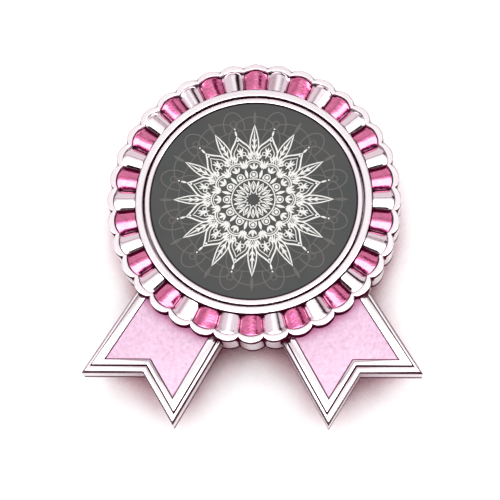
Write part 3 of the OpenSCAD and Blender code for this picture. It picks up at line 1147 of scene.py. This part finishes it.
# studio surroundings: soft overhead light on everything, and cards that only show in the gloss
# an edge is (axis, from, to): the card begins between the two, or ends there if to < from
studio = {
    "overhead": (0.02, 0.14, 0.99),  # where the overhead light comes from
    "overheadLevel": 2.5,
    "overheadEdge": ("height", 0.35, 0.92),
    "lowColour": "#6A3A48",
    "surroundLevel": 1.0,
    "cards": [  # each hides what is behind it
        (hexColour("#E9DCE4"), [("sideways", 0.18, 0.34)]),  # pale walls on both sides
        (grey(4.0), [("spread", 0.27, 0.13), ("X", -0.85, -0.6), ("Z", 0.30, 0.45)]),  # softbox
        (hexColour("#E9DAE0"), [("lean", 0.58, 0.72)]),  # wall beyond the top
        (hexColour("#BEA4AC"), [("lean", 0.42, 0.49), ("lean", 0.67, 0.53)]),  # gap before it
        (hexColour("#24080F"), [("bar", 0.51, 0.56), ("bar", 0.84, 0.79),
                                ("X", 0.08, 0.20), ("X", 0.72, 0.55)]),  # dark bar
        (hexColour("#1C060C"), [("Y", -0.20, -0.36), ("Z", 0.80, 0.70)]),  # dark room in front
    ],
}
world = bpy.data.worlds.new("softStudio")
bpy.context.scene.world = world
world.use_nodes = True
world.cycles.sampling_method = "NONE"  # only rays find the cards, so matt pieces see the fill alone
tree = world.node_tree
tree.nodes.clear()
direction = addNode(tree, "ShaderNodeTexCoord", (-1800, 0)).outputs["Generated"]
split = addNode(tree, "ShaderNodeSeparateXYZ", (-1600, 0), None, {"Vector": direction})
sideways = addNode(tree, "ShaderNodeMath", (-1600, 150), {"operation": "ABSOLUTE"},
                   {0: split.outputs["X"]})
spread = addNode(tree, "ShaderNodeMath", (-1400, 150), {"operation": "MULTIPLY_ADD"},
                 {0: sideways.outputs["Value"], 1: 0.3, 2: split.outputs["Y"]})
axes = {"X": split.outputs["X"], "Y": split.outputs["Y"], "Z": split.outputs["Z"],
        "sideways": sideways.outputs["Value"], "spread": spread.outputs["Value"]}
# axes that slant, for the cards that don't stand square
slants = {"lean": (-0.08, 1.0, 0.0), "bar": (0.45, 1.0, 0.0), "height": studio["overhead"]}
for row, (name, slant) in enumerate(slants.items()):
    dot = addNode(tree, "ShaderNodeVectorMath", (-1600, -200 - 200 * row),
                  {"operation": "DOT_PRODUCT"}, {0: direction, 1: slant})
    axes[name] = dot.outputs["Value"]


def softStep(edge, at):
    # 0 to 1 along an axis, or 1 to 0 where the edge runs backwards
    axis, start, end = edge
    falls = start > end
    step = addNode(
        tree, "ShaderNodeMapRange", at, {"interpolation_type": "SMOOTHSTEP"},
        {"Value": axes[axis], "From Min": min(start, end), "From Max": max(start, end),
         "To Min": 1.0 if falls else 0.0, "To Max": 0.0 if falls else 1.0})
    return step.outputs["Result"]


def addCard(behind, colour, edges, x):
    # a card of this colour in front of what is there
    mask = softStep(edges[0], (x - 400, 0))
    for row, edge in enumerate(edges[1:], 1):
        both = addNode(tree, "ShaderNodeMath", (x - 200, -170 * row), {"operation": "MULTIPLY"},
                       {0: mask, 1: softStep(edge, (x - 400, -170 * row))})
        mask = both.outputs["Value"]
    card = addNode(tree, "ShaderNodeMix", (x, 0), {"data_type": "RGBA", "clamp_factor": True},
                   {"Factor": mask, "A": behind, "B": colour})
    return card.outputs["Result"]


gloss = grey(studio["surroundLevel"])
for number, (colour, edges) in enumerate(studio["cards"]):
    gloss = addCard(gloss, colour, edges, -600 + 600 * number)
fill = addCard(hexColour(studio["lowColour"]), grey(studio["overheadLevel"]),
               [studio["overheadEdge"]], 3200)
rays = addNode(tree, "ShaderNodeLightPath", (3200, 400))
matt = addNode(tree, "ShaderNodeMix", (3500, 0), {"data_type": "RGBA", "clamp_factor": True},
               {"Factor": rays.outputs["Diffuse Depth"], "A": gloss, "B": fill})
sky = addNode(
    tree, "ShaderNodeMix", (3700, 0), {"data_type": "RGBA", "clamp_factor": True},
    {"Factor": rays.outputs["Is Camera Ray"], "A": matt.outputs["Result"], "B": grey(1.0)})
background = addNode(tree, "ShaderNodeBackground", (3900, 0), None,
                     {"Color": sky.outputs["Result"], "Strength": 1.0})
addNode(tree, "ShaderNodeOutputWorld", (4100, 0), None,
        {"Surface": background.outputs["Background"]})


# camera at the photo's angle
view = {
    "azimuth": 12.28,
    "tilt": 17.89,
    "roll": 1.10,
    "distance": 188.5,
    "target": (-0.27, -1.715, 8.4),
    "lens": 114.44,
    "sensor": 36,
}
azimuth, tilt, roll = (math.radians(view[k]) for k in ("azimuth", "tilt", "roll"))
back = Vector((math.sin(tilt) * math.sin(azimuth), -math.sin(tilt) * math.cos(azimuth),
               math.cos(tilt)))
right = (-back).cross(Vector((0, 1, 0))).normalized()
up = right.cross(-back)
right, up = (math.cos(roll) * right + math.sin(roll) * up,
             -math.sin(roll) * right + math.cos(roll) * up)
eye = (Vector(view["target"]) + back * view["distance"]) * mm
camera = bpy.data.objects.new("studioCamera", bpy.data.cameras.new("studioCamera"))
camera.data.lens = view["lens"]
camera.data.sensor_width = view["sensor"]
camera.data.clip_start = 0.01
camera.data.clip_end = 10
camera.matrix_world = Matrix((
    (right.x, up.x, back.x, eye.x),
    (right.y, up.y, back.y, eye.y),
    (right.z, up.z, back.z, eye.z),
    (0, 0, 0, 1)))
bpy.context.scene.collection.objects.link(camera)
bpy.context.scene.camera = camera
bpy.context.scene.view_settings.view_transform = "Standard"
print("camera and light set")
